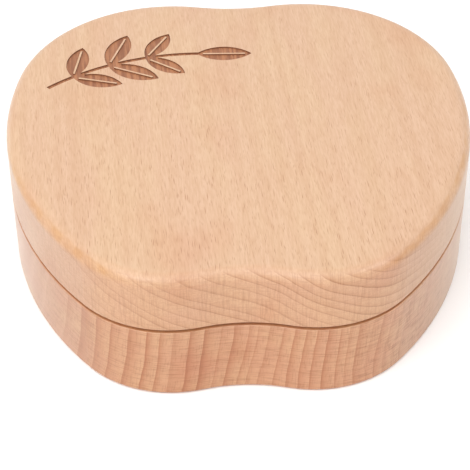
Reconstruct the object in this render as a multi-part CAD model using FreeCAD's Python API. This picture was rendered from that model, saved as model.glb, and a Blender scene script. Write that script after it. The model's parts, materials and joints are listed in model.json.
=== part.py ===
"""Tooth-shaped keepsake box of solid beech: base, swivel lid, pivot hardware and closing magnets.

Millimetres, +Z up. The origin is at the middle of the underside: the crown of the tooth lies at +Y, its two
roots at -Y, and the grain of the wood runs along Y. The lid turns on a vertical shoulder screw in the right
crown lobe and is held shut by pairs of magnets in the other three lobes.
"""
import FreeCAD
import Part
import math
import os
from FreeCAD import Vector

# Outline of the tooth, shared by the base and the lid
BOX_DEPTH = 117.0
CROWN_WIDTH = 118.0
ROOT_WIDTH = 91.0
CROWN_LOBE_RADIUS = 41.0
ROOT_LOBE_RADIUS = 28.0
SIDE_RADIUS = 86.0
CROWN_NOTCH_RADIUS = 50.0
ROOT_NOTCH_RADIUS = 42.0

# Heights
BASE_HEIGHT = 20.5
SEAM_GAP = 0.9
LID_HEIGHT = 16.1

# Softened edges
LID_EDGE_RADIUS = 3.2
SEAM_EDGE_RADIUS = 0.3
FOOT_EDGE_RADIUS = 0.9

# Wells for the single teeth, in a ring that follows the outline
WELL_COUNT = 20
WELL_DIAMETER = 9.6
WELL_DEPTH = 11.0
WELL_FLOOR_RADIUS = 2.0
WELL_RING_INSET = 18.5
MOUTH_CHAMFER = 0.5

# Round keepsake recess inside the ring, and the hollow over it in the lid's flat underside
RECESS_DIAMETER = 48.0
RECESS_DEPTH = 12.0
RECESS_FLOOR_RADIUS = 3.0
RECESS_FROM_MIDDLE = 1.0
LID_HOLLOW_DEPTH = 8.0
LID_HOLLOW_RADIUS = 3.0

# Pivot: shoulder screw, bush, washer and threaded insert on one axis
PIVOT_INSET = 8.5
PIVOT_BEARING = 45.0
SHOULDER_DIAMETER = 5.0
SHOULDER_CLEARANCE = 0.03
SHOULDER_PLAY = 0.05
THREAD_DIAMETER = 4.0
THREAD_LENGTH = 8.5
HEAD_DIAMETER = 9.0
HEAD_HEIGHT = 2.4
HEAD_CHAMFER = 0.4
HEAD_SUNK = 1.0
SOCKET_SIDES = 6
SOCKET_ACROSS_FLATS = 3.0
SOCKET_DEPTH = 1.4
WASHER_DIAMETER = 10.0
WASHER_THICKNESS = 0.8
WASHER_CLEARANCE = 0.1
COUNTERBORE_CLEARANCE = 0.5
BUSH_WALL = 1.2
FLANGE_DIAMETER = 10.0
FLANGE_THICKNESS = 1.4
FLANGE_CHAMFER = 0.2
INSERT_DIAMETER = 8.0
INSERT_LENGTH = 9.5
INSERT_RIDGES = 5
INSERT_RIDGE_HEIGHT = 0.5
INSERT_END_ROOM = 0.5

# Closing magnets
MAGNET_DIAMETER = 6.0
MAGNET_THICKNESS = 3.0
MAGNET_CHAMFER = 0.25
MAGNET_INSET = 7.0
CROWN_MAGNET_BEARING = 135.0
ROOT_LEFT_MAGNET_BEARING = 235.0
ROOT_RIGHT_MAGNET_BEARING = 305.0

# Glue room round everything that is let into the wood
SEAT_CLEARANCE = 0.02

# Leafy sprig cut into the lid's top
SPRIG_X = -31.0
SPRIG_Y = 29.0
SPRIG_TURN = 20.0
SPRIG_LENGTH = 44.0
SPRIG_BOW_RADIUS = 60.0
STEM_WIDTH = 1.2
LEAF_LENGTH = 15.0
LEAF_WIDTH = 6.4
LEAF_LEAN = 48.0
VEIN_WIDTH = 0.5
VEIN_LENGTH_SHARE = 0.76
LEAF_PLACE_SHARES = (0.18, 0.42, 0.66)
LEAF_SIZE_SHARES = (0.92, 1.0, 0.86)
ENGRAVING_DEPTH = 0.4

# How far cutters run past the face that they cut, and how near a height an edge counts as level with it
OVERRUN = 2.0
LEVEL_TOLERANCE = 0.01

# Places that follow from the sizes
LID_BOTTOM = BASE_HEIGHT + SEAM_GAP
LID_TOP = LID_BOTTOM + LID_HEIGHT
CROWN_LOBE = Vector(CROWN_WIDTH / 2 - CROWN_LOBE_RADIUS, BOX_DEPTH / 2 - CROWN_LOBE_RADIUS, 0)
ROOT_LOBE = Vector(ROOT_WIDTH / 2 - ROOT_LOBE_RADIUS, ROOT_LOBE_RADIUS - BOX_DEPTH / 2, 0)
UP = Vector(0, 0, 1)
ORIGIN = Vector(0, 0, 0)


def bearing(degrees):
    """Unit vector in plan, counted anticlockwise from +X."""
    angle = math.radians(degrees)
    return Vector(math.cos(angle), math.sin(angle), 0)


def mirrored(point):
    """The same place on the other side of the box's middle plane."""
    return Vector(-point.x, point.y, point.z)


def side_centre():
    """Centre of the side arc that touches the crown lobe and the root lobe from outside."""
    reach_crown = SIDE_RADIUS - CROWN_LOBE_RADIUS
    reach_root = SIDE_RADIUS - ROOT_LOBE_RADIUS
    line = ROOT_LOBE - CROWN_LOBE
    span = line.Length
    along = (reach_crown ** 2 - reach_root ** 2 + span ** 2) / (2 * span)
    off = math.sqrt(reach_crown ** 2 - along ** 2)
    unit = line / span
    return CROWN_LOBE + unit * along + Vector(unit.y, -unit.x, 0) * off


def notch_centre(lobe, lobe_radius, notch_radius, way):
    """Centre, on the middle plane, of the hollow arc that touches a lobe.

    The way is +1 at the crown and -1 at the roots.
    """
    rise = math.sqrt((lobe_radius + notch_radius) ** 2 - lobe.x ** 2)
    return Vector(0, lobe.y + way * rise, 0)


def arc(centre, radius, start, end, z):
    """Arc about a centre between two directions, at height z."""
    middle = (start + end).normalize()
    lift = UP * z
    return Part.Arc(*(centre + way * radius + lift for way in (start, middle, end))).toShape()


def outline(inset, z):
    """Closed wire of tangent arcs round the tooth, moved inwards by inset, from the middle of the crown."""
    side = side_centre()
    crown_notch = notch_centre(CROWN_LOBE, CROWN_LOBE_RADIUS, CROWN_NOTCH_RADIUS, 1)
    root_notch = notch_centre(ROOT_LOBE, ROOT_LOBE_RADIUS, ROOT_NOTCH_RADIUS, -1)
    into_crown = (CROWN_LOBE - crown_notch).normalize()
    into_root = (ROOT_LOBE - root_notch).normalize()
    to_crown = (CROWN_LOBE - side).normalize()
    to_root = (ROOT_LOBE - side).normalize()
    back = Vector(0, 1, 0)
    right = [
        arc(crown_notch, CROWN_NOTCH_RADIUS + inset, -back, into_crown, z),
        arc(CROWN_LOBE, CROWN_LOBE_RADIUS - inset, -into_crown, to_crown, z),
        arc(side, SIDE_RADIUS - inset, to_crown, to_root, z),
        arc(ROOT_LOBE, ROOT_LOBE_RADIUS - inset, to_root, -into_root, z),
        arc(root_notch, ROOT_NOTCH_RADIUS + inset, into_root, back, z),
    ]
    left = [edge.mirror(ORIGIN, Vector(1, 0, 0)) for edge in reversed(right)]
    return Part.Wire(right + left)


def block(inset, bottom, height):
    """Upright solid on the tooth's outline."""
    return Part.Face(outline(inset, bottom)).extrude(UP * height)


def level_edges(solid, z):
    """Edges of a solid that lie flat at height z."""
    boxes = [(edge, edge.BoundBox) for edge in solid.Edges]
    return [edge for edge, box in boxes if max(abs(box.ZMin - z), abs(box.ZMax - z)) < LEVEL_TOLERANCE]


def spun(profile, centre):
    """Solid of revolution about a vertical axis, from (radius, height) points."""
    points = [Vector(radius, 0, height) for radius, height in profile]
    face = Part.Face(Part.makePolygon(points + points[:1]))
    solid = face.revolve(ORIGIN, UP, 360)
    solid.translate(centre)
    return solid


def drill(centre, diameter, bottom, top):
    """Plain round cutter or pin between two heights."""
    return Part.makeCylinder(diameter / 2, top - bottom, Vector(centre.x, centre.y, bottom))


def round_pocket(centre, diameter, depth, floor_radius):
    """Cutter for a round pocket in the base's top, with a rounded floor edge and a chamfered mouth."""
    floor = BASE_HEIGHT - depth
    bowl = drill(centre, diameter, floor, BASE_HEIGHT + OVERRUN)
    bowl = bowl.makeFillet(floor_radius, level_edges(bowl, floor))
    mouth_foot = centre + UP * (BASE_HEIGHT - MOUTH_CHAMFER)
    mouth = Part.makeCone(diameter / 2, diameter / 2 + MOUTH_CHAMFER, MOUTH_CHAMFER, mouth_foot)
    return bowl.fuse(mouth)


def well_centres():
    """Evenly spaced places on the ring, half a step to each side of the middle plane."""
    return outline(WELL_RING_INSET, 0).discretize(Number=2 * WELL_COUNT + 1)[1::2]


def recess_place():
    """Foot of the keepsake recess's axis."""
    return Vector(0, RECESS_FROM_MIDDLE, 0)


def pivot_axis():
    """Foot of the swivel axis, in the right crown lobe."""
    return CROWN_LOBE + bearing(PIVOT_BEARING) * (CROWN_LOBE_RADIUS - PIVOT_INSET)


def magnet_axes():
    """Places of the magnets, by the lobe that holds each pair."""
    crown_reach = CROWN_LOBE_RADIUS - MAGNET_INSET
    root_reach = ROOT_LOBE_RADIUS - MAGNET_INSET
    return {
        "crown_left": mirrored(CROWN_LOBE) + bearing(CROWN_MAGNET_BEARING) * crown_reach,
        "root_left": mirrored(ROOT_LOBE) + bearing(ROOT_LEFT_MAGNET_BEARING) * root_reach,
        "root_right": ROOT_LOBE + bearing(ROOT_RIGHT_MAGNET_BEARING) * root_reach,
    }


def counterbore_depth():
    """Depth under the base that hides the screw's head and the washer."""
    return HEAD_SUNK + HEAD_HEIGHT + WASHER_THICKNESS + SHOULDER_PLAY


def bush_diameter():
    """Outside of the bush's barrel."""
    return SHOULDER_DIAMETER + 2 * (SHOULDER_CLEARANCE + BUSH_WALL)


def base():
    """Lower block with its tooth wells, keepsake recess, pivot bore and magnet holes."""
    body = block(0, 0, BASE_HEIGHT)
    body = body.makeFillet(SEAM_EDGE_RADIUS, level_edges(body, BASE_HEIGHT))
    body = body.makeFillet(FOOT_EDGE_RADIUS, level_edges(body, 0))
    pivot = pivot_axis()
    flange_floor = LID_BOTTOM - FLANGE_THICKNESS
    top = BASE_HEIGHT + OVERRUN
    cutters = [round_pocket(place, WELL_DIAMETER, WELL_DEPTH, WELL_FLOOR_RADIUS) for place in well_centres()]
    cutters.append(round_pocket(recess_place(), RECESS_DIAMETER, RECESS_DEPTH, RECESS_FLOOR_RADIUS))
    cutters.append(drill(pivot, bush_diameter() + 2 * SEAT_CLEARANCE, -OVERRUN, top))
    cutters.append(drill(pivot, WASHER_DIAMETER + 2 * COUNTERBORE_CLEARANCE, -OVERRUN, counterbore_depth()))
    cutters.append(drill(pivot, FLANGE_DIAMETER + 2 * SEAT_CLEARANCE, flange_floor, top))
    hole_floor = LID_BOTTOM - MAGNET_THICKNESS
    for place in magnet_axes().values():
        cutters.append(drill(place, MAGNET_DIAMETER + 2 * SEAT_CLEARANCE, hole_floor, top))
    return body.cut(cutters)


def leaf(root, way, length):
    """Pointed leaf between two arcs with its vein left standing, as a cutter through the lid's top."""
    across = Vector(-way.y, way.x, 0) * (LEAF_WIDTH / 2 * length / LEAF_LENGTH)
    tip = root + way * length
    middle = (root + tip) / 2
    edges = [Part.Arc(root, middle + across, tip).toShape(), Part.Arc(tip, middle - across, root).toShape()]
    blade = Part.Face(Part.Wire(edges)).extrude(UP * (ENGRAVING_DEPTH + OVERRUN))
    run = length * VEIN_LENGTH_SHARE
    vein_corner = Vector((length - run) / 2, -VEIN_WIDTH / 2, 0)
    vein = Part.makeBox(run, VEIN_WIDTH, ENGRAVING_DEPTH + OVERRUN, vein_corner)
    vein.rotate(ORIGIN, UP, math.degrees(math.atan2(way.y, way.x)))
    vein.translate(root)
    return blade.cut(vein)


def sprig():
    """Bowed stem with pairs of leaves and one at its tip, as cutters through the lid's top."""
    half_sweep = math.degrees(SPRIG_LENGTH / SPRIG_BOW_RADIUS / 2)
    hub = Vector(0, -SPRIG_BOW_RADIUS, 0)
    ring = Part.makeCylinder(
        SPRIG_BOW_RADIUS + STEM_WIDTH / 2, ENGRAVING_DEPTH + OVERRUN, hub, UP, 2 * half_sweep)
    core = drill(hub, 2 * SPRIG_BOW_RADIUS - STEM_WIDTH, 0, ENGRAVING_DEPTH + OVERRUN)
    stem = ring.cut(core)
    stem.rotate(hub, UP, 90 - half_sweep)
    cutters = [stem]
    for place_share, size_share in zip(LEAF_PLACE_SHARES, LEAF_SIZE_SHARES):
        radial = bearing(90 + half_sweep - 2 * half_sweep * place_share)
        heading = math.degrees(math.atan2(radial.y, radial.x)) - 90
        for hand in (1, -1):
            way = bearing(heading + hand * LEAF_LEAN)
            cutters.append(leaf(hub + radial * SPRIG_BOW_RADIUS, way, LEAF_LENGTH * size_share))
    tip_radial = bearing(90 - half_sweep)
    tip_way = Vector(tip_radial.y, -tip_radial.x, 0)
    tip_root = hub + tip_radial * SPRIG_BOW_RADIUS - tip_way * STEM_WIDTH
    cutters.append(leaf(tip_root, tip_way, LEAF_LENGTH))
    for cutter in cutters:
        cutter.rotate(ORIGIN, UP, SPRIG_TURN)
        cutter.translate(Vector(SPRIG_X, SPRIG_Y, LID_TOP - ENGRAVING_DEPTH))
    return cutters


def lid():
    """Upper block with its rounded top edge, round hollow, insert and magnet holes, and engraved sprig."""
    body = block(0, LID_BOTTOM, LID_HEIGHT)
    body = body.makeFillet(LID_EDGE_RADIUS, level_edges(body, LID_TOP))
    body = body.makeFillet(SEAM_EDGE_RADIUS, level_edges(body, LID_BOTTOM))
    hollow_top = LID_BOTTOM + LID_HOLLOW_DEPTH
    below = LID_BOTTOM - OVERRUN
    hollow = drill(recess_place(), RECESS_DIAMETER, below, hollow_top)
    hollow = hollow.makeFillet(LID_HOLLOW_RADIUS, level_edges(hollow, hollow_top))
    insert_top = LID_BOTTOM + INSERT_LENGTH + INSERT_END_ROOM
    cutters = [hollow]
    cutters.append(drill(pivot_axis(), INSERT_DIAMETER + 2 * SEAT_CLEARANCE, below, insert_top))
    for place in magnet_axes().values():
        hole_top = LID_BOTTOM + MAGNET_THICKNESS
        cutters.append(drill(place, MAGNET_DIAMETER + 2 * SEAT_CLEARANCE, below, hole_top))
    return body.cut(cutters + sprig())


def pivot_bush():
    """Flanged bush; its flange stands out of the base by the seam and carries the lid."""
    bore = SHOULDER_DIAMETER / 2 + SHOULDER_CLEARANCE
    barrel = bush_diameter() / 2
    flange = FLANGE_DIAMETER / 2
    flange_floor = LID_BOTTOM - FLANGE_THICKNESS
    profile = [
        (bore, counterbore_depth()),
        (barrel, counterbore_depth()),
        (barrel, flange_floor),
        (flange, flange_floor),
        (flange, LID_BOTTOM - FLANGE_CHAMFER),
        (flange - FLANGE_CHAMFER, LID_BOTTOM),
        (bore, LID_BOTTOM),
    ]
    return spun(profile, pivot_axis())


def pivot_screw():
    """Shoulder screw with a low round head and a six-sided socket, its thread drawn plain."""
    head_top = HEAD_SUNK + HEAD_HEIGHT
    head = HEAD_DIAMETER / 2
    shoulder = SHOULDER_DIAMETER / 2
    thread = THREAD_DIAMETER / 2
    profile = [
        (0, HEAD_SUNK),
        (head - HEAD_CHAMFER, HEAD_SUNK),
        (head, HEAD_SUNK + HEAD_CHAMFER),
        (head, head_top),
        (shoulder, head_top),
        (shoulder, LID_BOTTOM),
        (thread, LID_BOTTOM),
        (thread, LID_BOTTOM + THREAD_LENGTH),
        (0, LID_BOTTOM + THREAD_LENGTH),
    ]
    corner = SOCKET_ACROSS_FLATS / 2 / math.cos(math.pi / SOCKET_SIDES)
    corners = [bearing(360 / SOCKET_SIDES * step) * corner for step in range(SOCKET_SIDES + 1)]
    socket = Part.Face(Part.makePolygon(corners)).extrude(UP * (SOCKET_DEPTH + OVERRUN))
    socket.translate(pivot_axis() + UP * (HEAD_SUNK - OVERRUN))
    return spun(profile, pivot_axis()).cut(socket)


def pivot_washer():
    """Flat washer on the screw's head, under the base."""
    bottom = HEAD_SUNK + HEAD_HEIGHT
    top = bottom + WASHER_THICKNESS
    disc = drill(pivot_axis(), WASHER_DIAMETER, bottom, top)
    hole = drill(pivot_axis(), SHOULDER_DIAMETER + 2 * WASHER_CLEARANCE, bottom - OVERRUN, top + OVERRUN)
    return disc.cut(hole)


def threaded_insert():
    """Ridged insert in the lid that takes the screw's thread."""
    bore = THREAD_DIAMETER / 2 + SEAT_CLEARANCE
    crest = INSERT_DIAMETER / 2
    pitch = INSERT_LENGTH / INSERT_RIDGES
    profile = [(bore, LID_BOTTOM + INSERT_LENGTH), (bore, LID_BOTTOM)]
    for ridge in range(INSERT_RIDGES):
        foot = LID_BOTTOM + ridge * pitch
        profile.append((crest, foot))
        profile.append((crest, foot + pitch / 2))
        profile.append((crest - INSERT_RIDGE_HEIGHT, foot + pitch / 2))
        profile.append((crest - INSERT_RIDGE_HEIGHT, foot + pitch))
    return spun(profile, pivot_axis())


def magnet(place, bottom):
    """Disc magnet with chamfered rims."""
    radius = MAGNET_DIAMETER / 2
    rim = radius - MAGNET_CHAMFER
    top = bottom + MAGNET_THICKNESS
    profile = [
        (0, bottom),
        (rim, bottom),
        (radius, bottom + MAGNET_CHAMFER),
        (radius, top - MAGNET_CHAMFER),
        (rim, top),
        (0, top),
    ]
    return spun(profile, place)


def pieces():
    """All pieces by node name."""
    made = {
        "base": base(),
        "lid": lid(),
        "pivot_bush": pivot_bush(),
        "pivot_screw": pivot_screw(),
        "pivot_washer": pivot_washer(),
        "threaded_insert": threaded_insert(),
    }
    for lobe, place in magnet_axes().items():
        made["base_magnet_" + lobe] = magnet(place, LID_BOTTOM - MAGNET_THICKNESS)
        made["lid_magnet_" + lobe] = magnet(place, LID_BOTTOM)
    return made


os.makedirs("parts", exist_ok=True)
for node, shape in pieces().items():
    shape.exportStep("parts/" + node + ".step")
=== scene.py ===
"""Finishes of a tooth-shaped beech keepsake box, laid out as an add-on and run as a script.

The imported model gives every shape. The wood is worked out in the solid: each block is a piece of a
trunk whose heart runs along Y, so year rings, rays and flecks meet at every edge as in real timber.
"""
import json
import math

import bpy
from bpy.props import FloatProperty, FloatVectorProperty, PointerProperty
from bpy.types import Operator, Panel, PropertyGroup
from mathutils import Matrix, Vector

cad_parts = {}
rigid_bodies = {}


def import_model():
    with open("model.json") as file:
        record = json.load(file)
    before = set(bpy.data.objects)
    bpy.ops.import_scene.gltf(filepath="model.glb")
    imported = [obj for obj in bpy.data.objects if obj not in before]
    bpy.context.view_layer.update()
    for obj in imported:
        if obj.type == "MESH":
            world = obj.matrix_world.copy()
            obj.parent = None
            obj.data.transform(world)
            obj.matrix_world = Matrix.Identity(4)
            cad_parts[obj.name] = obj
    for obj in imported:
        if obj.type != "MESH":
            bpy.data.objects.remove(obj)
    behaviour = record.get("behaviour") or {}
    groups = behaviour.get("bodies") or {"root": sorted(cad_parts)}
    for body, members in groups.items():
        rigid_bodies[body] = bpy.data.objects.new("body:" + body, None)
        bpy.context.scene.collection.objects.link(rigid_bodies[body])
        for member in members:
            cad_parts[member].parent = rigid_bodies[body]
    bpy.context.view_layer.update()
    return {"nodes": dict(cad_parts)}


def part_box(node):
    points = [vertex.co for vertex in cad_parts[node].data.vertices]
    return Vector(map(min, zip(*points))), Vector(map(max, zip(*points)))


bl_info = {
    "name": "Tooth keepsake box",
    "version": (1, 0, 0),
    "blender": (4, 5, 0),
    "location": "View3D > Sidebar > Tooth Box",
    "description": "Finishes a tooth-shaped beech box and lights it on a pale floor",
    "category": "Object",
}

for leftover in list(bpy.data.objects):
    bpy.data.objects.remove(leftover)
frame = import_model()

MM_PER_M = 1000.0
LID_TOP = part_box("lid")[1].z
BASE_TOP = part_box("base")[1].z

# Patterns of the wood, in millimetres across and along the grain.
DRIFT = (26.0, 200.0)
RIPPLE = (2.6, 9.0)
FIBRE = (0.38, 3.6)
CLOUD = (10.0, 50.0)
BLOTCH = (2.2, 4.0)
STREAK = (0.8, 12.0)
STAIN = (17.0, 26.0)
STAIN_SHIFT = (114.0, 112.0)
SHORT_FLECK = (0.32, 3.4)
LONG_FLECK = (0.38, 7.0)

# Fine marks on end grain, in millimetres: how thin, how deep into the wood and how long.
PORE_LINE = (0.26, 6.0, 4.5)
CROSS_LINE = (0.3, 6.0, 3.0)

# Unevenness of the trunk, in millimetres.
DRIFT_ACROSS = 5.0
DRIFT_ABOVE = 4.0
RIPPLE_HEIGHT = 0.25
WIDE_YEARS_REACH = 11.0
WIDENING_REACH = 20.0
UNEVEN_YEARS_REACH = 6.0

# Height where the rings don't lean, and where lean and flecks begin to grow and are full, in millimetres.
LEAN_FOOT = 10.0
LEAN_SPAN = (30.0, -45.0)
FLECK_FADE = (50.0, -55.0)

# Faces by the parts of their normal: where each kind begins and where it counts in full.
END_FACE = (0.04, 0.75)
BANDED_FACE = (0.25, 0.8)
LINED_FACE = (0.45, 0.92)
BELOW_TOP = (0.985, 0.9)
ABOVE_SIDE = (0.15, 0.4)
SIDE_FACE = (0.5, 0.95)
UPRIGHT_FACE = (0.5, 0.1)
TOP_FACE = (0.9, 0.98)
UNDER_FACE = (-0.6, -0.95)
# The right rounded edge, where painted shade is laid on.
SHADED_RIGHT_EDGE = (0.4, 0.6)
SLANTING_EDGE = (0.04, 0.2)
SLANT_ASIDE = (0.25, 0.45)
SQUARE_CUT = (0.3, 0.75)
SCORCHED_FLOOR = (0.985, 0.995)
CHARRED_WALL = (0.6, 0.4)

# Values of a pattern: where it begins to show and where it shows in full.
CLOUD_SHOWS = (0.34, 0.66)
STAIN_SHOWS = (0.52, 0.78)
BLOTCH_SHOWS = (0.35, 0.65)
STREAK_SHOWS = (0.36, 0.64)
FIBRE_SHOWS = (0.3, 0.7)
PORES_SHOW = (0.42, 0.72)
CROSSING_SHOWS = (0.48, 0.75)
FLECK_SHOWS = (0.28, 0.06)
YEAR_ENDS = (0.78, 0.96)
HAZE_SHOWS = (0.35, 0.75)

# Depth below the lid's top, in parts of the engraving's depth: where the burn begins and where it stops.
BURN_BEGINS = (0.1, 0.2)
BURN_STOPS = (1.4, 1.2)

# Strength of a pattern where its mask is 0 and where it is 1.
LATE_BY_YEAR = (0.4, 1.1)
LINE_BY_YEAR = (0.6, 1.2)
FLECKS_TO_FRONT = (0.6, 1.0)
STAIN_TO_END_GRAIN = (0.6, 1.0)
EDGE_IN_BLOTCHES = (0.4, 1.0)
END_TINT_TO_ROUNDING = (1.0, 0.58)

# Strengths that are the same all over, the first one in years.
UNEVEN_YEARS = 1.1
SOFT_YEAR = 0.3
PORES_IN_LINE = 1.6
CROSSING = 0.7
SHORT_FLECKS = 0.68
LONG_FLECKS = 0.82

# Powers: the higher, the narrower a year's dark end and the rarer the strong flecks.
SHARP_YEAR = 1.7
FLECK_RARITY = 3

# Rays fan out from a line this many times as far off as the heart, so flecks are about equally wide.
RAY_REACH = 3.0

# Middle value of soft noise.
NOISE_MIDDLE = 0.5

# Roughness of sanded wood, and what is added to it.
SANDED_ROUGHNESS = 0.46
FLECK_ROUGHNESS = 0.2
FIBRE_ROUGHNESS = 0.1
END_ROUGHNESS = 0.06
SCORCHED_ROUGHNESS = 0.25

# Thin oil on the wood, and the shine and nap of its fibres.
OIL_WEIGHT = 0.35
OIL_ROUGHNESS = 0.3
FIBRE_SHINE = 0.42
NAP_ROUGHNESS = 0.4

# Relief: shares of the fibres and lines, strength of the bump, and heights in metres.
FIBRE_RELIEF = 0.3
LINE_RELIEF = 0.25
RELIEF_STRENGTH = 0.1
WOOD_RELIEF = 0.0002
METAL_RELIEF = 0.00005

# Metal: haze size in millimetres, its shade and strength, and what roughens the surface.
HAZE_SIZE = 1.8
HAZE_SHADE = 0.72
HAZE_STRENGTH = 0.5
METAL_ROUGHNESS = 0.24
MARK_ROUGHNESS = 0.14
HAZE_ROUGHNESS = 0.1

# Matt paint of the floor.
FLOOR_ROUGHNESS = 0.9

# Softboxes: where they hang and how wide they are, in metres.
KEY_PLACE = Vector((-0.26, -0.42, 0.8))
KEY_SIDE = 1.0
GLINT_PLACES = {
    "left_glint": Vector((-0.34, -0.51, 0.63)),
    "right_glint": Vector((0.46, -0.24, 0.53)),
}
GLINT_SIDE = 0.3

# Sockets of a Mix node for colours.
MIX_AMOUNT = 0
MIX_FIRST = 6
MIX_SECOND = 7
MIX_RESULT = 2


def colour(name, description, default):
    """A linear colour."""
    return FloatVectorProperty(
        name=name, description=description, default=default, subtype="COLOR", min=0, max=1)


def length(name, description, default):
    """A length in metres."""
    return FloatProperty(name=name, description=description, default=default, unit="LENGTH")


def two_lengths(name, description, default):
    """Two lengths in metres."""
    return FloatVectorProperty(
        name=name, description=description, default=default, size=2, unit="LENGTH")


def angle(name, description, degrees):
    """An angle, given in degrees."""
    return FloatProperty(
        name=name, description=description, default=math.radians(degrees), subtype="ANGLE")


def share(name, description, default):
    """A strength from nothing to full."""
    return FloatProperty(
        name=name, description=description, default=default, subtype="FACTOR", min=0, max=1)


def watts(name, description, default):
    """Power of a light in watts."""
    return FloatProperty(name=name, description=description, default=default, unit="POWER")


def focal_length(name, description, default):
    """A lens's focal length in millimetres."""
    return FloatProperty(name=name, description=description, default=default, unit="CAMERA")


def number(name, description, default):
    """A plain number."""
    return FloatProperty(name=name, description=description, default=default)


class BeechColours:
    """Colours that both blocks of beech share."""
    line: colour("Ring line", "Thin line where one year ends", (0.31, 0.14, 0.06))
    fleck: colour("Fleck", "Cut ends of the rays", (0.31, 0.115, 0.04))
    stain: colour("Stain", "Faint warm patches", (0.93, 0.81, 0.76))
    # Rounded edge: slant-cut grain colour at the front corners, and painted shade on the right edge.
    edge_grain_and_shade: colour("Rounded edge", "Tint of the rounding cut slantwise", (0.94, 0.85, 0.67))
    # Painted light: cools the upright sides, in place of the greyish light of the white surround on them.
    painted_side_light: colour("Side grain", "Tint of the upright wood cut along", (0.915, 0.95, 0.985))
    # Painted shade: darkens and warms faces turned down and covered faces, in place of the shade in the
    # seam gap and under the lid.
    painted_inner_shade: colour("Inner face", "Tint of the faces that light never bleached", (0.98, 0.76, 0.57))


class LidBeechProperties(BeechColours, PropertyGroup):
    """Flat-sawn beech of the lid, with the heart of the trunk far above its right side."""
    honey: colour("Honey", "Yellow wood between the rings", (0.643, 0.428, 0.268))
    rose: colour("Rose", "Pink wood between the rings", (0.637, 0.411, 0.27))
    late: colour("Late wood", "Wood at the end of a year", (0.5, 0.275, 0.145))
    end_tint: colour("End grain", "Tint of the wood cut across", (0.92, 0.815, 0.755))
    heart: two_lengths("Heart", "Heart of the trunk, across and above", (0.131, 0.29))
    slope: number("Slope", "How far the grain runs aside along the box", 0.08)
    lean: number("Lean", "How far the left end's rings lean over", 0.0)
    ring_gap: length("Ring gap", "Width of one year", 0.0021)
    widening: number("Widening", "How much wider the years grow outwards", 0.0)
    wide_years: number("Wide years", "How many years fewer the middle holds", 2.0)
    band: share("Band", "How strongly each year darkens", 0.75)
    calm: share("Calm", "How far the years fade out on the calm side", 0.5)
    calm_side: two_lengths("Calm side", "Where the years begin and end to fade", (-0.012, -0.034))
    ring_line: share("Ring line strength", "How dark the ring lines are on end grain", 0.66)
    mark_turn: angle("Mark turn", "Turn of the fine marks on end grain from upright", 0.0)
    mark: share("Mark strength", "How dark the fine marks are on end grain", 0.32)
    weave: share("Weave", "How much darker the fine marks are on the calm side", 0.0)
    fibre: share("Fibre strength", "How dark the fibres are", 0.42)
    ray: share("Ray strength", "How dark the cut rays are", 1.0)
    # Strength of the rounded edge's tint, which includes painted shade on the right edge.
    edge: share("Edge strength", "How strongly the rounded edge is tinted", 1.0)
    covered: share("Covered top", "How far the upward faces are inner ones", 0.0)
    nap: share("Nap", "Pale sanded fibres seen at low angles", 0.09)


class BaseBeechProperties(BeechColours, PropertyGroup):
    """Quarter-sawn beech of the base, with the heart of the trunk far to its right."""
    honey: colour("Honey", "Yellow wood between the rings", (0.59, 0.384, 0.24))
    rose: colour("Rose", "Pink wood between the rings", (0.58, 0.352, 0.228))
    late: colour("Late wood", "Wood at the end of a year", (0.42, 0.175, 0.08))
    end_tint: colour("End grain", "Tint of the wood cut across", (0.95, 0.81, 0.7))
    heart: two_lengths("Heart", "Heart of the trunk, across and above", (0.42, -0.014))
    slope: number("Slope", "How far the grain runs aside along the box", 0.03)
    lean: number("Lean", "How far the left end's rings lean over", -0.13)
    ring_gap: length("Ring gap", "Width of one year", 0.0031)
    widening: number("Widening", "How much wider the years grow outwards", 0.2)
    wide_years: number("Wide years", "How many years fewer the middle holds", 0.0)
    band: share("Band", "How strongly each year darkens", 0.95)
    calm: share("Calm", "How far the years fade out on the calm side", 0.6)
    calm_side: two_lengths("Calm side", "Where the years begin and end to fade", (0.012, 0.045))
    ring_line: share("Ring line strength", "How dark the ring lines are on end grain", 0.3)
    mark_turn: angle("Mark turn", "Turn of the fine marks on end grain from upright", 88.0)
    mark: share("Mark strength", "How dark the fine marks are on end grain", 0.46)
    weave: share("Weave", "How much darker the fine marks are on the calm side", 0.6)
    fibre: share("Fibre strength", "How dark the fibres are", 0.16)
    ray: share("Ray strength", "How dark the cut rays are", 0.25)
    edge: share("Edge strength", "How strongly the rounded edge is tinted", 0.0)
    # The base's upward faces sit under the lid, so they get the painted shade of the inner faces.
    covered: share("Covered top", "How far the upward faces are inner ones", 1.0)
    nap: share("Nap", "Pale sanded fibres seen at low angles", 0.19)


class BurnProperties(PropertyGroup):
    """Burnt floor and walls of the engraved sprig."""
    pale: colour("Pale burn", "Scorched wood between the streaks", (0.405, 0.163, 0.068))
    dark: colour("Dark burn", "Scorched streaks along the grain", (0.248, 0.085, 0.032))
    wall: colour("Burnt wall", "Charred walls of the cut", (0.2, 0.075, 0.03))
    depth: length("Depth", "Depth of the engraving", 0.0004)


class MetalProperties(PropertyGroup):
    """Pivot hardware and magnets."""
    brass: colour("Brass", "Bush and insert", (0.83, 0.6, 0.27))
    steel: colour("Steel", "Screw and washer", (0.56, 0.57, 0.58))
    nickel: colour("Nickel", "Magnets", (0.72, 0.69, 0.64))
    tool_mark_gap: length("Tool mark gap", "Distance between turning marks", 0.00009)


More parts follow.
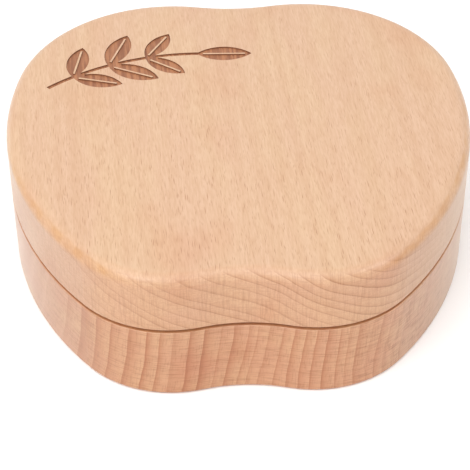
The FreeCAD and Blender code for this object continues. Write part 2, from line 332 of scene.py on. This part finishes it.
class StageProperties(PropertyGroup):
    """Floor, light and camera."""
    floor: colour("Floor", "Pale floor", (0.96, 0.96, 0.96))
    floor_reach: length("Floor reach", "Half the floor's side", 1.6)
    sky: number("Sky", "Strength of the even white surround", 0.95)
    key: watts("Key", "Power of the large softbox", 6.3)
    glint: watts("Glint", "Power of each softbox that only reflections show", 1.6)
    lens: focal_length("Lens", "Focal length of the camera", 128.3)
    turn: angle("Turn", "Camera's turn about the upright", -1.508)
    climb: angle("Climb", "Camera's height angle", 38.9)
    roll: angle("Roll", "Camera's tilt about its axis", -0.305)
    distance: length("Distance", "From the camera to the box's middle", 0.44139)
    middle: length("Middle", "Height that the camera turns about", 0.019)
    aim: two_lengths("Aim", "Where the camera looks, across and along", (-0.001051, -0.021531))


class Wire:
    """A node's output; arithmetic on it adds Math nodes."""

    def __init__(self, recipe, socket):
        self.recipe = recipe
        self.socket = socket

    def __add__(self, other):
        return self.recipe.maths("ADD", self, other)

    def __sub__(self, other):
        return self.recipe.maths("SUBTRACT", self, other)

    def __rsub__(self, other):
        return self.recipe.maths("SUBTRACT", other, self)

    def __mul__(self, other):
        return self.recipe.maths("MULTIPLY", self, other)

    def __truediv__(self, other):
        return self.recipe.maths("DIVIDE", self, other)

    def __pow__(self, other):
        return self.recipe.maths("POWER", self, other)

    def __abs__(self):
        return self.recipe.maths("ABSOLUTE", self)

    __radd__ = __add__
    __rmul__ = __mul__

    def step(self, start, end):
        """Smooth run from 0 at start to 1 at end, which may lie below start."""
        settings = {"interpolation_type": "SMOOTHSTEP"}
        if start < end:
            sockets = {"Value": self, "From Min": start, "From Max": end, "To Min": 0.0, "To Max": 1.0}
        else:
            sockets = {"Value": self, "From Min": end, "From Max": start, "To Min": 1.0, "To Max": 0.0}
        return self.recipe.node("ShaderNodeMapRange", settings, sockets)

    def between(self, first, last):
        """Straight run from first where this is 0 to last where it is 1."""
        return self * (last - first) + first


class Recipe:
    """One material and its nodes."""

    def __init__(self, name):
        self.material = bpy.data.materials.new(name)
        self.material.use_nodes = True
        self.tree = self.material.node_tree
        self.tree.nodes.clear()

    def add(self, kind, settings, sockets):
        """Adds a node of any kind: its settings first, then the values or links of its sockets."""
        made = self.tree.nodes.new(kind)
        for key, value in settings.items():
            setattr(made, key, value)
        for key, value in sockets.items():
            if isinstance(value, Wire):
                self.tree.links.new(value.socket, made.inputs[key])
            else:
                made.inputs[key].default_value = value
        return made

    def node(self, kind, settings, sockets, output=0):
        """Adds a node and takes one of its outputs."""
        return Wire(self, self.add(kind, settings, sockets).outputs[output])

    def maths(self, operation, *values):
        """Result of a Math node."""
        return self.node("ShaderNodeMath", {"operation": operation}, dict(enumerate(values)))

    def vector(self, x, y, z):
        """Three values as one vector."""
        return self.node("ShaderNodeCombineXYZ", {}, {"X": x, "Y": y, "Z": z})

    def parts(self, vector):
        """The three values of a vector."""
        return [self.node("ShaderNodeSeparateXYZ", {}, {"Vector": vector}, axis) for axis in range(3)]

    def mix(self, amount, first, second, blend="MIX"):
        """From one colour to another, as far as the amount says."""
        settings = {"data_type": "RGBA", "blend_type": blend}
        sockets = {MIX_AMOUNT: amount, MIX_FIRST: opaque(first), MIX_SECOND: opaque(second)}
        return self.node("ShaderNodeMix", settings, sockets, MIX_RESULT)

    def tinted(self, amount, first, second):
        """One colour multiplied by another, as far as the amount says."""
        return self.mix(amount, first, second, "MULTIPLY")

    def noise(self, place, detail=2.0, output=0):
        """Soft noise about one unit across."""
        sockets = {"Vector": place, "Scale": 1.0, "Detail": detail}
        return self.node("ShaderNodeTexNoise", {}, sockets, output)

    def noise_along(self, distance, detail=1.0):
        """Soft noise along one value."""
        settings = {"noise_dimensions": "1D"}
        return self.node("ShaderNodeTexNoise", settings, {"W": distance, "Scale": 1.0, "Detail": detail})

    def relief(self, height, reach):
        """Normal of a surface on which a height of 1 stands for the reach in metres."""
        sockets = {"Strength": RELIEF_STRENGTH, "Distance": reach, "Height": height}
        return self.node("ShaderNodeBump", {}, sockets)

    def surface(self, sockets):
        """Principled shader on the material's output."""
        shader = self.node("ShaderNodeBsdfPrincipled", {}, sockets)
        self.add("ShaderNodeOutputMaterial", {}, {"Surface": shader})
        return self.material


def opaque(value):
    """A colour with full alpha; wires pass as they are."""
    return value if isinstance(value, Wire) else (*value[:3], 1.0)


def object_place(recipe):
    """Place on the piece in millimetres, as a vector."""
    place = recipe.node("ShaderNodeTexCoord", {}, {}, "Object")
    return recipe.node("ShaderNodeVectorMath", {"operation": "SCALE"}, {0: place, "Scale": MM_PER_M})


class Beech(Recipe):
    """Solid beech: years round a heart line along Y, rays about a line beyond it, fibres along Y."""

    def __init__(self, name, look):
        super().__init__(name)
        self.look = look
        x, self.y, self.z = self.parts(object_place(self))
        leaning = (self.z - LEAN_FOOT) * x.step(*LEAN_SPAN) * look.lean
        self.x = x + self.y * look.slope + leaning
        self.nx, self.ny, self.nz = self.parts(self.node("ShaderNodeTexCoord", {}, {}, "Normal"))
        self.end_grain = abs(self.ny).step(*END_FACE)
        self.rounded = self.nz.step(*BELOW_TOP) * self.nz.step(*ABOVE_SIDE)

    def grain(self, size, detail=2.0, output=0):
        """Soft noise drawn out along the grain."""
        across, along = size
        place = self.vector(self.x / across, self.y / along, self.z / across)
        return self.noise(place, detail, output)

    def from_heart(self):
        """Way from the heart line, across and above, through a trunk that grew unevenly."""
        aside, over = self.look.heart
        drift = self.parts(self.grain(DRIFT, detail=1.0, output="Color"))
        across = self.x + (drift[0] - NOISE_MIDDLE) * DRIFT_ACROSS - aside * MM_PER_M
        above = self.z + (drift[2] - NOISE_MIDDLE) * DRIFT_ABOVE - over * MM_PER_M
        return across, above

    def years(self, radius):
        """Place within a year, from 0 to 1, and a chance value of that year.

        Years are counted outwards from the middle of the base's top.
        """
        look = self.look
        aside, over = look.heart
        middle = math.hypot(aside, over - BASE_TOP) * MM_PER_M
        ripple = (self.grain(RIPPLE, detail=1.0) - NOISE_MIDDLE) * RIPPLE_HEIGHT
        out = radius + ripple - middle
        widened = out - (out * out + WIDENING_REACH ** 2) ** 0.5 * look.widening
        fewer = self.maths("TANH", out / WIDE_YEARS_REACH) * look.wide_years
        uneven = self.noise_along(out / UNEVEN_YEARS_REACH) * UNEVEN_YEARS
        year = widened / (look.ring_gap * MM_PER_M) - fewer + uneven
        settings = {"noise_dimensions": "1D"}
        chance = self.node("ShaderNodeTexWhiteNoise", settings, {"W": self.maths("FLOOR", year)})
        return self.maths("FRACT", year), chance

    def end_marks(self):
        """Fine lines on end grain, one set along the mark's turn and one across it."""
        cos = math.cos(self.look.mark_turn)
        sin = math.sin(self.look.mark_turn)
        aside = self.x * cos + self.z * sin
        upright = self.z * cos - self.x * sin
        thin, deep, long = PORE_LINE
        pores = self.noise(self.vector(aside / thin, self.y / deep, upright / long))
        thin, deep, long = CROSS_LINE
        crossing = self.noise(self.vector(aside / long, self.y / deep, upright / thin))
        return pores, crossing

    def rings(self, radius):
        """Dark end of each year, the line that closes it and the fine marks of end grain."""
        look = self.look
        ring, chance = self.years(radius)
        pores, crossing = self.end_marks()
        start, end = look.calm_side
        faded = self.x.step(start * MM_PER_M, end * MM_PER_M) * self.end_grain
        clear = 1 - faded * look.calm
        soft = self.maths("SINE", ring * math.pi) ** 2 * SOFT_YEAR
        banded = abs(self.ny).step(*BANDED_FACE)
        late = (soft + banded * (ring ** SHARP_YEAR - soft)) * chance.between(*LATE_BY_YEAR) * clear
        lined = abs(self.ny).step(*LINED_FACE) * (pores * PORES_IN_LINE)
        line = ring.step(*YEAR_ENDS) * lined * chance.between(*LINE_BY_YEAR) * clear
        marks = pores.step(*PORES_SHOW) + crossing.step(*CROSSING_SHOWS) * CROSSING
        return late, line, marks * (1 + faded * look.weave) * self.end_grain

    def flecks(self, around, size):
        """Lens-shaped cut rays: points drawn out along the grain, each with its own strength."""
        width, along = size
        cells = {"Vector": self.vector(around / width, self.y / along, 0.0), "Scale": 1.0}
        flat = {"voronoi_dimensions": "2D"}
        near = self.node("ShaderNodeTexVoronoi", flat, cells, "Distance")
        chance = self.parts(self.node("ShaderNodeTexVoronoi", flat, cells, "Color"))[0]
        return near.step(*FLECK_SHOWS) * chance ** FLECK_RARITY

    def rays(self, across, above, radius):
        """Flecks where a face cuts the rays squarely, fainter towards the back and none on end grain."""
        further = (RAY_REACH - 1) * MM_PER_M
        aside, over = self.look.heart
        turn = self.maths("ARCTAN2", above - over * further, across - aside * further)
        around = turn * (math.hypot(aside, over) * RAY_REACH * MM_PER_M)
        square = abs(self.nx * across + self.nz * above) / radius
        front = self.y.step(*FLECK_FADE).between(*FLECKS_TO_FRONT)
        seen = front * (1 - self.end_grain) * square.step(*SQUARE_CUT)
        short = self.flecks(around, SHORT_FLECK) * SHORT_FLECKS
        long = self.flecks(around, LONG_FLECK) * LONG_FLECKS
        return (short + long) * seen * self.look.ray

    def stains(self):
        """Faint warm patches, stronger on end grain."""
        across, along = STAIN
        aside, ahead = STAIN_SHIFT
        place = self.vector((self.x + aside) / across, (self.y + ahead) / along, self.z / across)
        patch = self.noise(place, detail=1.0).step(*STAIN_SHOWS)
        return patch * self.end_grain.between(*STAIN_TO_END_GRAIN)

    def tints_and_painted_light(self, tint):
        """Tints of end grain and slant-cut edges, painted shade on the right edge, on faces turned down
        and on covered faces, and painted light on upright sides.
        """
        look = self.look
        end = self.end_grain * self.rounded.between(*END_TINT_TO_ROUNDING)
        slanting = (self.nx * self.ny).step(*SLANTING_EDGE) * abs(self.nx).step(*SLANT_ASIDE)
        # Rounded edge: slant-cut grain colour where the cut runs aside, and painted shade on the right
        # edge.
        edge = self.rounded * self.maths("MAXIMUM", self.nx.step(*SHADED_RIGHT_EDGE), slanting) * look.edge
        blotch = self.grain(BLOTCH, detail=1.0).step(*BLOTCH_SHOWS).between(*EDGE_IN_BLOTCHES)
        # Upright sides, which get painted light.
        side = abs(self.nx).step(*SIDE_FACE) * self.nz.step(*UPRIGHT_FACE)
        # Painted shade on faces turned down, and on covered upward faces.
        inner = self.nz.step(*UNDER_FACE) + self.nz.step(*TOP_FACE) * look.covered
        tint = self.tinted(end, tint, look.end_tint)
        tint = self.tinted(edge * blotch, tint, look.edge_grain_and_shade)
        tint = self.tinted(side, tint, look.painted_side_light)
        return self.tinted(inner, tint, look.painted_inner_shade)

    def burnt(self, tint, burn):
        """Scorched floor and charred walls of the engraving, and where they are."""
        sunk = (LID_TOP * MM_PER_M - self.z) / (burn.depth * MM_PER_M)
        cut = sunk.step(*BURN_BEGINS) * sunk.step(*BURN_STOPS)
        floor = cut * self.nz.step(*SCORCHED_FLOOR)
        wall = cut * self.nz.step(*CHARRED_WALL)
        streak = self.grain(STREAK, detail=3.0).step(*STREAK_SHOWS)
        tint = self.mix(floor, tint, self.mix(streak, burn.pale, burn.dark))
        return self.mix(wall, tint, burn.wall), floor + wall

    def finish(self, burn=None):
        """Puts the years, marks, rays and fibres together on the shader."""
        look = self.look
        across, above = self.from_heart()
        radius = (across * across + above * above) ** 0.5
        late, line, marks = self.rings(radius)
        fleck = self.rays(across, above, radius)
        fibre = self.grain(FIBRE, detail=3.0)

        tint = self.mix(self.grain(CLOUD).step(*CLOUD_SHOWS), look.honey, look.rose)
        tint = self.mix(late * look.band, tint, look.late)
        tint = self.mix(line * look.ring_line, tint, look.line)
        tint = self.mix(marks * look.mark, tint, look.line)
        tint = self.mix(fleck, tint, look.fleck)
        tint = self.mix(fibre.step(*FIBRE_SHOWS) * look.fibre, tint, look.late)
        tint = self.tinted(self.stains(), tint, look.stain)
        tint = self.tints_and_painted_light(tint)
        uneven = fleck * FLECK_ROUGHNESS + (fibre - NOISE_MIDDLE) * FIBRE_ROUGHNESS
        rough = SANDED_ROUGHNESS + uneven + self.end_grain * END_ROUGHNESS
        if burn is not None:
            tint, scorched = self.burnt(tint, burn)
            rough = rough + scorched * SCORCHED_ROUGHNESS
        return self.surface({
            "Base Color": tint,
            "Roughness": rough,
            "Normal": self.relief(fibre * FIBRE_RELIEF - fleck - line * LINE_RELIEF, WOOD_RELIEF),
            "Specular IOR Level": FIBRE_SHINE,
            "Coat Weight": OIL_WEIGHT,
            "Coat Roughness": OIL_ROUGHNESS,
            "Sheen Weight": look.nap,
            "Sheen Roughness": NAP_ROUGHNESS,
        })


def turned_metal(name, tint, look, axis):
    """Turned metal: rings of tool marks by distance from an upright axis, and soft handling haze."""
    metal = Recipe(name)
    x, y, z = metal.parts(object_place(metal))
    out = ((x - axis.x) ** 2 + (y - axis.y) ** 2) ** 0.5
    marks = metal.noise_along(out / (look.tool_mark_gap * MM_PER_M))
    haze = metal.noise(metal.vector(x / HAZE_SIZE, y / HAZE_SIZE, z / HAZE_SIZE), detail=3.0)
    hazy = haze.step(*HAZE_SHOWS) * HAZE_STRENGTH
    return metal.surface({
        "Base Color": metal.mix(hazy, tint, [HAZE_SHADE * part for part in tint]),
        "Metallic": 1.0,
        "Roughness": METAL_ROUGHNESS + marks * MARK_ROUGHNESS + haze * HAZE_ROUGHNESS,
        "Normal": metal.relief(marks, METAL_RELIEF),
    })


def give(node, material):
    """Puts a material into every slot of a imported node."""
    slots = frame["nodes"][node].data.materials
    for index in range(len(slots)):
        slots[index] = material


def node_axis(node):
    """Middle of a node in millimetres."""
    low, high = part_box(node)
    return (low + high) * (MM_PER_M / 2)


class TOOTHBOX_OT_lid(Operator):
    """Finish the lid in flat-sawn beech with its burnt sprig"""
    bl_idname = "toothbox.lid"
    bl_label = "Lid"

    def execute(self, context):
        scene = context.scene
        give("lid", Beech("lid_beech", scene.toothbox_lid).finish(scene.toothbox_burn))
        return {"FINISHED"}


class TOOTHBOX_OT_base(Operator):
    """Finish the base in quarter-sawn beech"""
    bl_idname = "toothbox.base"
    bl_label = "Base"

    def execute(self, context):
        give("base", Beech("base_beech", context.scene.toothbox_base).finish())
        return {"FINISHED"}


class TOOTHBOX_OT_pivot(Operator):
    """Finish the pivot's bush, insert, screw and washer"""
    bl_idname = "toothbox.pivot"
    bl_label = "Pivot"

    def execute(self, context):
        look = context.scene.toothbox_metal
        axis = node_axis("pivot_screw")
        brass = turned_metal("turned_brass", look.brass, look, axis)
        steel = turned_metal("turned_steel", look.steel, look, axis)
        for node in ("pivot_bush", "threaded_insert"):
            give(node, brass)
        for node in ("pivot_screw", "pivot_washer"):
            give(node, steel)
        return {"FINISHED"}


class TOOTHBOX_OT_magnets(Operator):
    """Finish the closing magnets in nickel plate"""
    bl_idname = "toothbox.magnets"
    bl_label = "Magnets"

    def execute(self, context):
        look = context.scene.toothbox_metal
        for node in frame["nodes"]:
            if "magnet" in node:
                give(node, turned_metal("nickel_" + node, look.nickel, look, node_axis(node)))
        return {"FINISHED"}


class TOOTHBOX_OT_stage(Operator):
    """Lay the pale floor, hang the soft lights and set the camera"""
    bl_idname = "toothbox.stage"
    bl_label = "Stage"

    def execute(self, context):
        look = context.scene.toothbox_stage
        lay_floor(context, look)
        hang_lights(context, look)
        set_camera(context, look)
        return {"FINISHED"}


def lay_floor(context, look):
    """Flat square under the box."""
    reach = look.floor_reach
    corners = [(-reach, -reach, 0), (reach, -reach, 0), (reach, reach, 0), (-reach, reach, 0)]
    mesh = bpy.data.meshes.new("floor")
    mesh.from_pydata(corners, [], [(0, 1, 2, 3)])
    floor = bpy.data.objects.new("floor", mesh)
    context.scene.collection.objects.link(floor)
    paint = Recipe("floor_paint")
    sockets = {"Base Color": opaque(look.floor), "Roughness": FLOOR_ROUGHNESS}
    mesh.materials.append(paint.surface(sockets))


def softbox(context, name, place, target, side, power):
    """Square area light that faces a point."""
    light = bpy.data.lights.new(name, "AREA")
    light.shape = "SQUARE"
    light.size = side
    light.energy = power
    lamp = bpy.data.objects.new(name, light)
    lamp.location = place
    lamp.rotation_euler = (target - place).to_track_quat("-Z", "Y").to_euler()
    context.scene.collection.objects.link(lamp)
    return lamp


def hang_lights(context, look):
    """Even white surround, a large softbox at the front left and two small ones for reflections alone."""
    world = bpy.data.worlds.new("surround")
    world.use_nodes = True
    surround = world.node_tree.nodes["Background"]
    surround.inputs["Color"].default_value = (1, 1, 1, 1)
    surround.inputs["Strength"].default_value = look.sky
    context.scene.world = world
    middle = Vector((0, 0, look.middle))
    softbox(context, "key_softbox", KEY_PLACE, middle, KEY_SIDE, look.key)
    for name, place in GLINT_PLACES.items():
        lamp = softbox(context, name, place, middle, GLINT_SIDE, look.glint)
        lamp.visible_diffuse = False


def set_camera(context, look):
    """Camera at the height angle and turn of the view, with its aim and roll."""
    spin = Matrix.Rotation(look.turn, 4, "Z")
    middle = Vector((0, 0, look.middle))
    back = Vector((0, -math.cos(look.climb), math.sin(look.climb)))
    place = spin @ (middle + back * look.distance)
    aim = spin @ Vector((look.aim[0], look.aim[1], look.middle))
    camera = bpy.data.cameras.new("camera")
    camera.lens = look.lens
    holder = bpy.data.objects.new("camera", camera)
    turn = (aim - place).to_track_quat("-Z", "Y").to_matrix().to_4x4()
    holder.matrix_world = Matrix.Translation(place) @ turn @ Matrix.Rotation(look.roll, 4, "Z")
    context.scene.collection.objects.link(holder)
    context.scene.camera = holder
    context.scene.view_settings.view_transform = "Standard"


class TOOTHBOX_PT_panel(Panel):
    """Lists the box's finishing steps"""
    bl_idname = "TOOTHBOX_PT_panel"
    bl_label = "Tooth Box"
    bl_space_type = "VIEW_3D"
    bl_region_type = "UI"
    bl_category = "Tooth Box"

    def draw(self, context):
        for operator in OPERATORS:
            self.layout.operator(operator.bl_idname)


LOOKS = {
    "toothbox_lid": LidBeechProperties,
    "toothbox_base": BaseBeechProperties,
    "toothbox_burn": BurnProperties,
    "toothbox_metal": MetalProperties,
    "toothbox_stage": StageProperties,
}
OPERATORS = (
    TOOTHBOX_OT_lid,
    TOOTHBOX_OT_base,
    TOOTHBOX_OT_pivot,
    TOOTHBOX_OT_magnets,
    TOOTHBOX_OT_stage,
)


def register():
    """Registers the looks, the operators and the panel."""
    for name, look in LOOKS.items():
        bpy.utils.register_class(look)
        setattr(bpy.types.Scene, name, PointerProperty(type=look))
    for operator in OPERATORS:
        bpy.utils.register_class(operator)
    bpy.utils.register_class(TOOTHBOX_PT_panel)


def unregister():
    """Takes everything back out."""
    bpy.utils.unregister_class(TOOTHBOX_PT_panel)
    for operator in reversed(OPERATORS):
        bpy.utils.unregister_class(operator)
    for name, look in LOOKS.items():
        delattr(bpy.types.Scene, name)
        bpy.utils.unregister_class(look)


def main():
    """Runs every step in order."""
    register()
    bpy.ops.toothbox.lid()
    bpy.ops.toothbox.base()
    bpy.ops.toothbox.pivot()
    bpy.ops.toothbox.magnets()
    bpy.ops.toothbox.stage()


if __name__ == "__main__":
    main()
